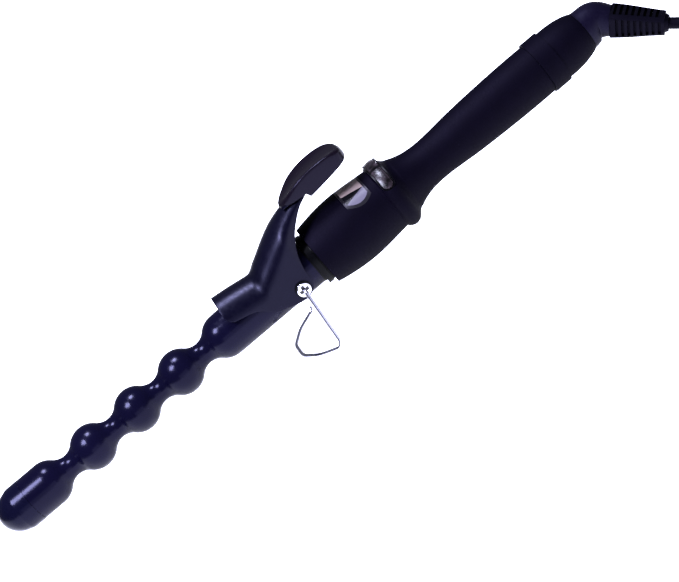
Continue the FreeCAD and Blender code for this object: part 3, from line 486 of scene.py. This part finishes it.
def pivot_screw_heads():
    """Domed cross-head screws on both sides, with painted shade in the cross: its faces take the dark component
    finish.
    """
    rings, columns = 28, 112
    for name, side in (("pivot_head_near", -1), ("pivot_head_far", 1)):
        points = []
        for ring in range(rings + 1):
            r = SCREW_HEAD_R * ring / rings
            for k in range(columns):
                angle = 2 * math.pi * k / columns
                u, w = r * math.cos(angle), r * math.sin(angle)
                rise = SCREW_DOME * (1 - (r / SCREW_HEAD_R) ** DOME_POWER)
                rise -= CROSS_DEPTH * min(1.0, max(0.0, 0.5 - past_cross(u, w) / CROSS_EDGE))
                points.append((u, side * (SCREW_FACE_Y + rise), -PIVOT_DROP + w))
        for k in range(columns):
            angle = 2 * math.pi * k / columns
            u, w = SCREW_HEAD_R * math.cos(angle), SCREW_HEAD_R * math.sin(angle)
            points.append((u, side * SCREW_FOOT_Y, -PIVOT_DROP + w))
        faces = grid_faces(rings + 2, columns, closed=True)
        head = piece(name, points, faces, "iron", "chrome", "pivot_screws")
        # Painted shade: the faces inside the driver's cross take the dark component finish instead of chrome.
        head.data.materials.append(FINISHES["component"])
        for face in head.data.polygons:
            at = FROM_ROW @ face.center
            if past_cross(at.x, at.z + PIVOT_DROP) < 0:
                face.material_index = 1


SPRING_X, SPRING_R, SPRING_WIRE_R, SPRING_TURNS = 8.2, 2.9, 0.5, 6.5
# The open winding climbs from SPRING_FOOT to SPRING_TOP, and each closed end adds SPRING_END_RISE to
# that over its share of the winding. The CAD spring is taller: this one stops short of the lever at
# rest, so that it stays inside the lever when the clip is pressed.
SPRING_FOOT, SPRING_TOP, SPRING_END_RISE, SPRING_END_SHARE = 13.2, 22.4, 0.5, 0.1


def spring():
    """Coil spring on the collar, with closed ends, short enough to clear the pressed lever."""
    steps, around = 156, 10
    points = []
    for i in range(steps + 1):
        t = i / steps
        angle = 2 * math.pi * SPRING_TURNS * t
        climb = min(1.0, max(0.0, (t - SPRING_END_SHARE) / (1 - 2 * SPRING_END_SHARE)))
        in_ends = min(t, SPRING_END_SHARE) + max(t, 1 - SPRING_END_SHARE) - (1 - SPRING_END_SHARE)
        rise = SPRING_FOOT + (SPRING_TOP - SPRING_FOOT) * climb + SPRING_END_RISE * in_ends / SPRING_END_SHARE
        for k in range(around):
            bend = 2 * math.pi * k / around
            r = SPRING_R + SPRING_WIRE_R * math.cos(bend)
            z = rise + SPRING_WIRE_R * math.sin(bend)
            points.append((SPRING_X + r * math.cos(angle), r * math.sin(angle), z))
    faces = grid_faces(steps + 1, around, closed=True)
    last = steps * around
    faces += [tuple(reversed(range(around))), tuple(range(last, last + around))]
    piece("spring_coil", points, faces, "iron", "spring_steel", "lever_spring")


# The ring's section as x, radius.
NECK_SECTION = [
    (14.9, 12.0), (14.9, 14.0), (15.2, 14.35), (16.3, 14.35), (16.5, 14.1), (16.5, 12.0), (14.9, 12.0),
]


def neck_ring():
    """Dark ring that closes the slit between the collar's flange and the handle's front."""
    columns = 96
    points = []
    for x, r in NECK_SECTION:
        for k in range(columns):
            angle = 2 * math.pi * k / columns
            points.append((x, r * math.cos(angle), r * math.sin(angle)))
    faces = grid_faces(len(NECK_SECTION), columns, closed=True)
    piece("neck_ring", points, faces, "iron", "black_plastic")


DIGIT_WIDTH, DIGIT_HEIGHT, DIGIT_GAP, STROKE = 2.2, 4.4, 0.75, 0.36
STROKE_INSET, STROKE_POINT = 0.24, 0.2
# The digits' middle, and their undersides and tops above the display's face.
DIGITS_X, DIGIT_UNDER, DIGIT_OVER = 50.1, 0.02, 0.08
SEGMENTS = {"2": "abged", "3": "abgcd", "0": "abcdef"}


def digits(text="230"):
    """The set temperature in seven-segment strokes, read from the lead's end, on the display's face."""
    width, tall = DIGIT_WIDTH / 2, DIGIT_HEIGHT / 2
    strokes = {
        "a": ((-width, tall), (width, tall)),
        "b": ((width, tall), (width, 0)),
        "c": ((width, 0), (width, -tall)),
        "d": ((-width, -tall), (width, -tall)),
        "e": ((-width, -tall), (-width, 0)),
        "f": ((-width, 0), (-width, tall)),
        "g": ((-width, 0), (width, 0)),
    }
    face_top = max((FROM_ROW @ v.co).z for v in NODES["display_window"].data.vertices)
    points, faces = [], []
    start = -(len(text) - 1) / 2 * (DIGIT_WIDTH + DIGIT_GAP)
    for index, sign in enumerate(text):
        across = start + index * (DIGIT_WIDTH + DIGIT_GAP)
        for letter in SEGMENTS[sign]:
            (u0, v0), (u1, v1) = strokes[letter]
            long = Vector((u1 - u0, v1 - v0)).normalized()
            wide = Vector((-long.y, long.x)) * STROKE / 2
            a, b = Vector((u0, v0)) + long * STROKE_INSET, Vector((u1, v1)) - long * STROKE_INSET
            p = long * STROKE_POINT
            corners = [a, a + p + wide, b - p + wide, b, b - p - wide, a + p - wide]
            base = len(points)
            for lift in (DIGIT_UNDER, DIGIT_OVER):
                for c in corners:
                    y = -(across + c.x)
                    points.append((DIGITS_X - c.y, y, math.sqrt(max(0.0, face_top**2 - y**2)) + lift))
            n = len(corners)
            faces.append(tuple(range(base + n, base + 2 * n)))
            faces += [(base + k, base + (k + 1) % n, base + n + (k + 1) % n, base + n + k) for k in range(n)]
    piece("display_digits", points, faces, "iron", "lcd")


# ---------------------------------------------------------------- lead

# The cord's route in metres, in the row's frame. The part's source works out the same points.
LEAD_ROUTE = [
    (0.20978, -0.01934, 0.00858),
    (0.21655, -0.0246, 0.0031),
    (0.22855, -0.0316, 0.0031),
    (0.24155, -0.038, 0.0031),
    (0.26178, -0.04714, 0.0031),
]
COIL_CENTRE = (0.27678, -0.00134)
LEAD_END_ROUTE = [
    (0.30978, 0.00666, 0.0165),
    (0.30678, 0.01866, 0.021),
    (0.29778, 0.02666, 0.0256),
    (0.28578, 0.02766, 0.0256),
]
# Where the coil starts: turn, radius and height. Then its spans: turns, and the radius and height at the
# span's end. Radii and heights are in lead diameters.
COIL_START = (-0.25, 7.3065, 0.5)
COIL_SPANS = [
    (3.0, 4.3065, 0.5),
    (0.5, 4.8065, 1.5),
    (2.0, 6.8065, 1.5),
    (0.5, 6.3065, 2.5),
    (1.23, 5.0765, 2.5),
]
POINTS_PER_TURN = 16
# A climb moves sideways only after the first part of a turn, and over the second.
CLIMB_WAIT, CLIMB_SHIFT = 0.15, 0.35


def eased(t):
    """A share of the way from 0 to 1 that starts and ends level."""
    return t * t * (3 - 2 * t)


def coil_points():
    """The wound stretch: out to in on the floor, back out one layer up, and in again on top."""
    turn, radius, height = COIL_START
    points = []
    for turns, radius_end, height_end in COIL_SPANS:
        steps = max(2, round(turns * POINTS_PER_TURN))
        climbing = height_end != height
        for i in range(steps):
            t = i / steps
            share = eased(min(1.0, max(0.0, (t * turns - CLIMB_WAIT) / CLIMB_SHIFT))) if climbing else t
            lift = eased(t) if climbing else 0.0
            r = (radius + (radius_end - radius) * share) * LEAD_D
            z = (height + (height_end - height) * lift) * LEAD_D
            angle = 2 * math.pi * (turn + turns * t)
            points.append((COIL_CENTRE[0] + r * math.cos(angle), COIL_CENTRE[1] + r * math.sin(angle), z))
        turn, radius, height = turn + turns, radius_end, height_end
    return points


def lead():
    """The lead as one cord: from the boot to the floor, through the coil and up to the plug."""
    points = LEAD_ROUTE + coil_points() + LEAD_END_ROUTE
    data = bpy.data.curves.new("lead_cord", "CURVE")
    data.dimensions = "3D"
    spline = data.splines.new("NURBS")
    spline.points.add(len(points) - 1)
    for point, place in zip(spline.points, points):
        point.co = (*place, 1)
    spline.order_u = 3
    spline.use_endpoint_u = True
    spline.resolution_u = 8
    data.bevel_depth = LEAD_D / 2
    data.bevel_resolution = 6
    data.use_fill_caps = True
    data.materials.append(FINISHES["cord_rubber"])
    cord = bpy.data.objects.new("lead_cord", data)
    bpy.context.scene.collection.objects.link(cord)
    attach(cord, "swivel")
    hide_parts("lead", "lead_coil", "lead_end")


camera()
floor()
studio()
FINISHES = materials()
dress(FINISHES)
clip()
thumb_pad()
pivot_screw_heads()
spring()
neck_ring()
digits()
lead()
